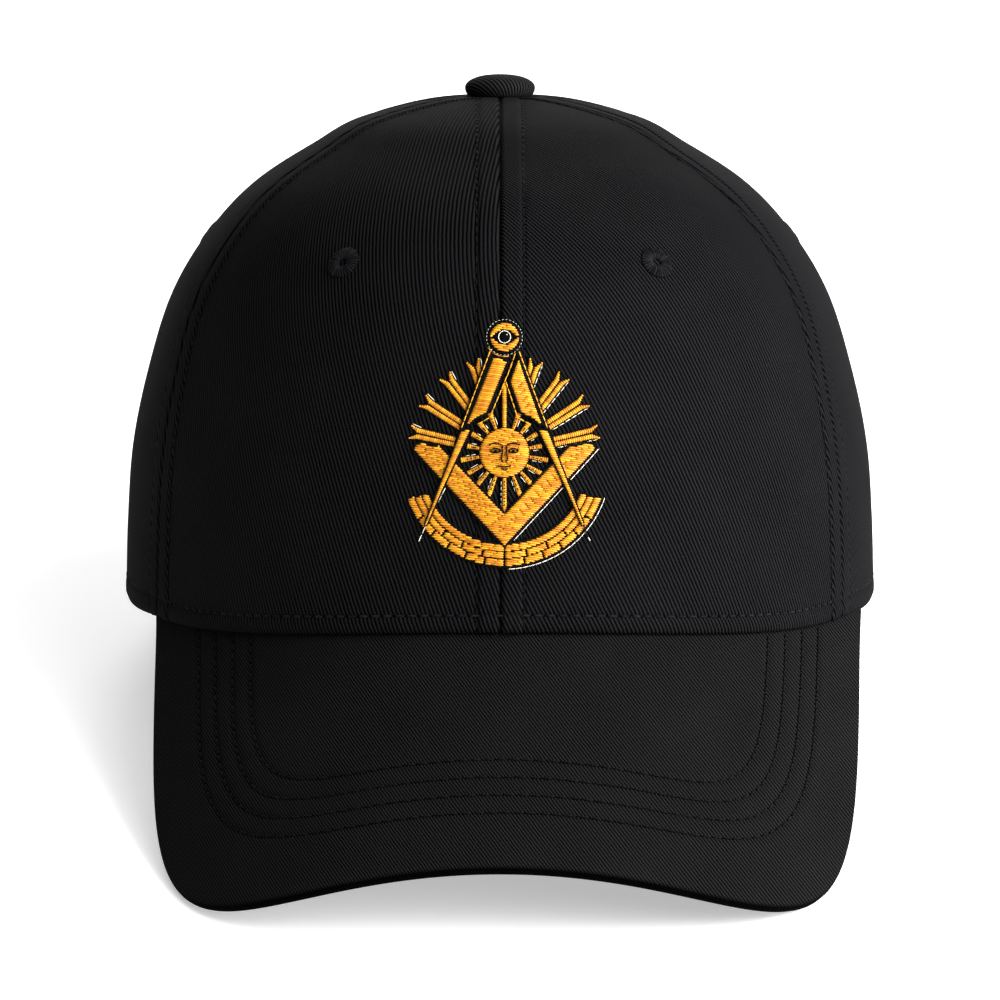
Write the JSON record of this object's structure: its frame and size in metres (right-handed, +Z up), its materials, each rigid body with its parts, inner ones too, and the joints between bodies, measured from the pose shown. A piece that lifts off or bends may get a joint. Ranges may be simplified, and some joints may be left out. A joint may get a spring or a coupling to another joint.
{
  "type": "masonic cap",
  "caption": "Structured black twill cap with a curved brim, covered button, sewn eyelets, back strap and a gold square-and-compasses emblem.",
  "frame": {"origin": "centre of the cap's box on the surface it stands on", "axes": "-Y out of the front over the brim, +X to the wearer's left, +Z up; the cap leans back about 14 degrees on its brim corners and strap"},
  "size_m": [0.1818, 0.2616, 0.1435],
  "materials": {
    "crown_twill": "black cotton twill, matt, with fine diagonal wales",
    "brim_twill": "black cotton twill stretched over a stiff board, with rows of topstitching",
    "band_cloth": "folded black cotton band, plain weave",
    "black_thread": "black sewing thread, slight sheen",
    "gold_thread": "gold rayon embroidery thread, satin sheen"
  },
  "bodies": {
    "root": {"brim": "brim_twill", "closure_strap": "crown_twill", "emblem_square_and_compasses": "gold_thread", "emblem_sun": "gold_thread", "eyelet_back_left": "black_thread", "eyelet_back_right": "black_thread", "eyelet_front_left": "black_thread", "eyelet_front_right": "black_thread", "eyelet_side_left": "black_thread", "eyelet_side_right": "black_thread", "panel_back_left": "crown_twill", "panel_back_right": "crown_twill", "panel_front_left": "crown_twill", "panel_front_right": "crown_twill", "panel_side_left": "crown_twill", "panel_side_right": "crown_twill", "sweatband": "band_cloth", "top_button": "crown_twill"}
  },
  "joints": []
}
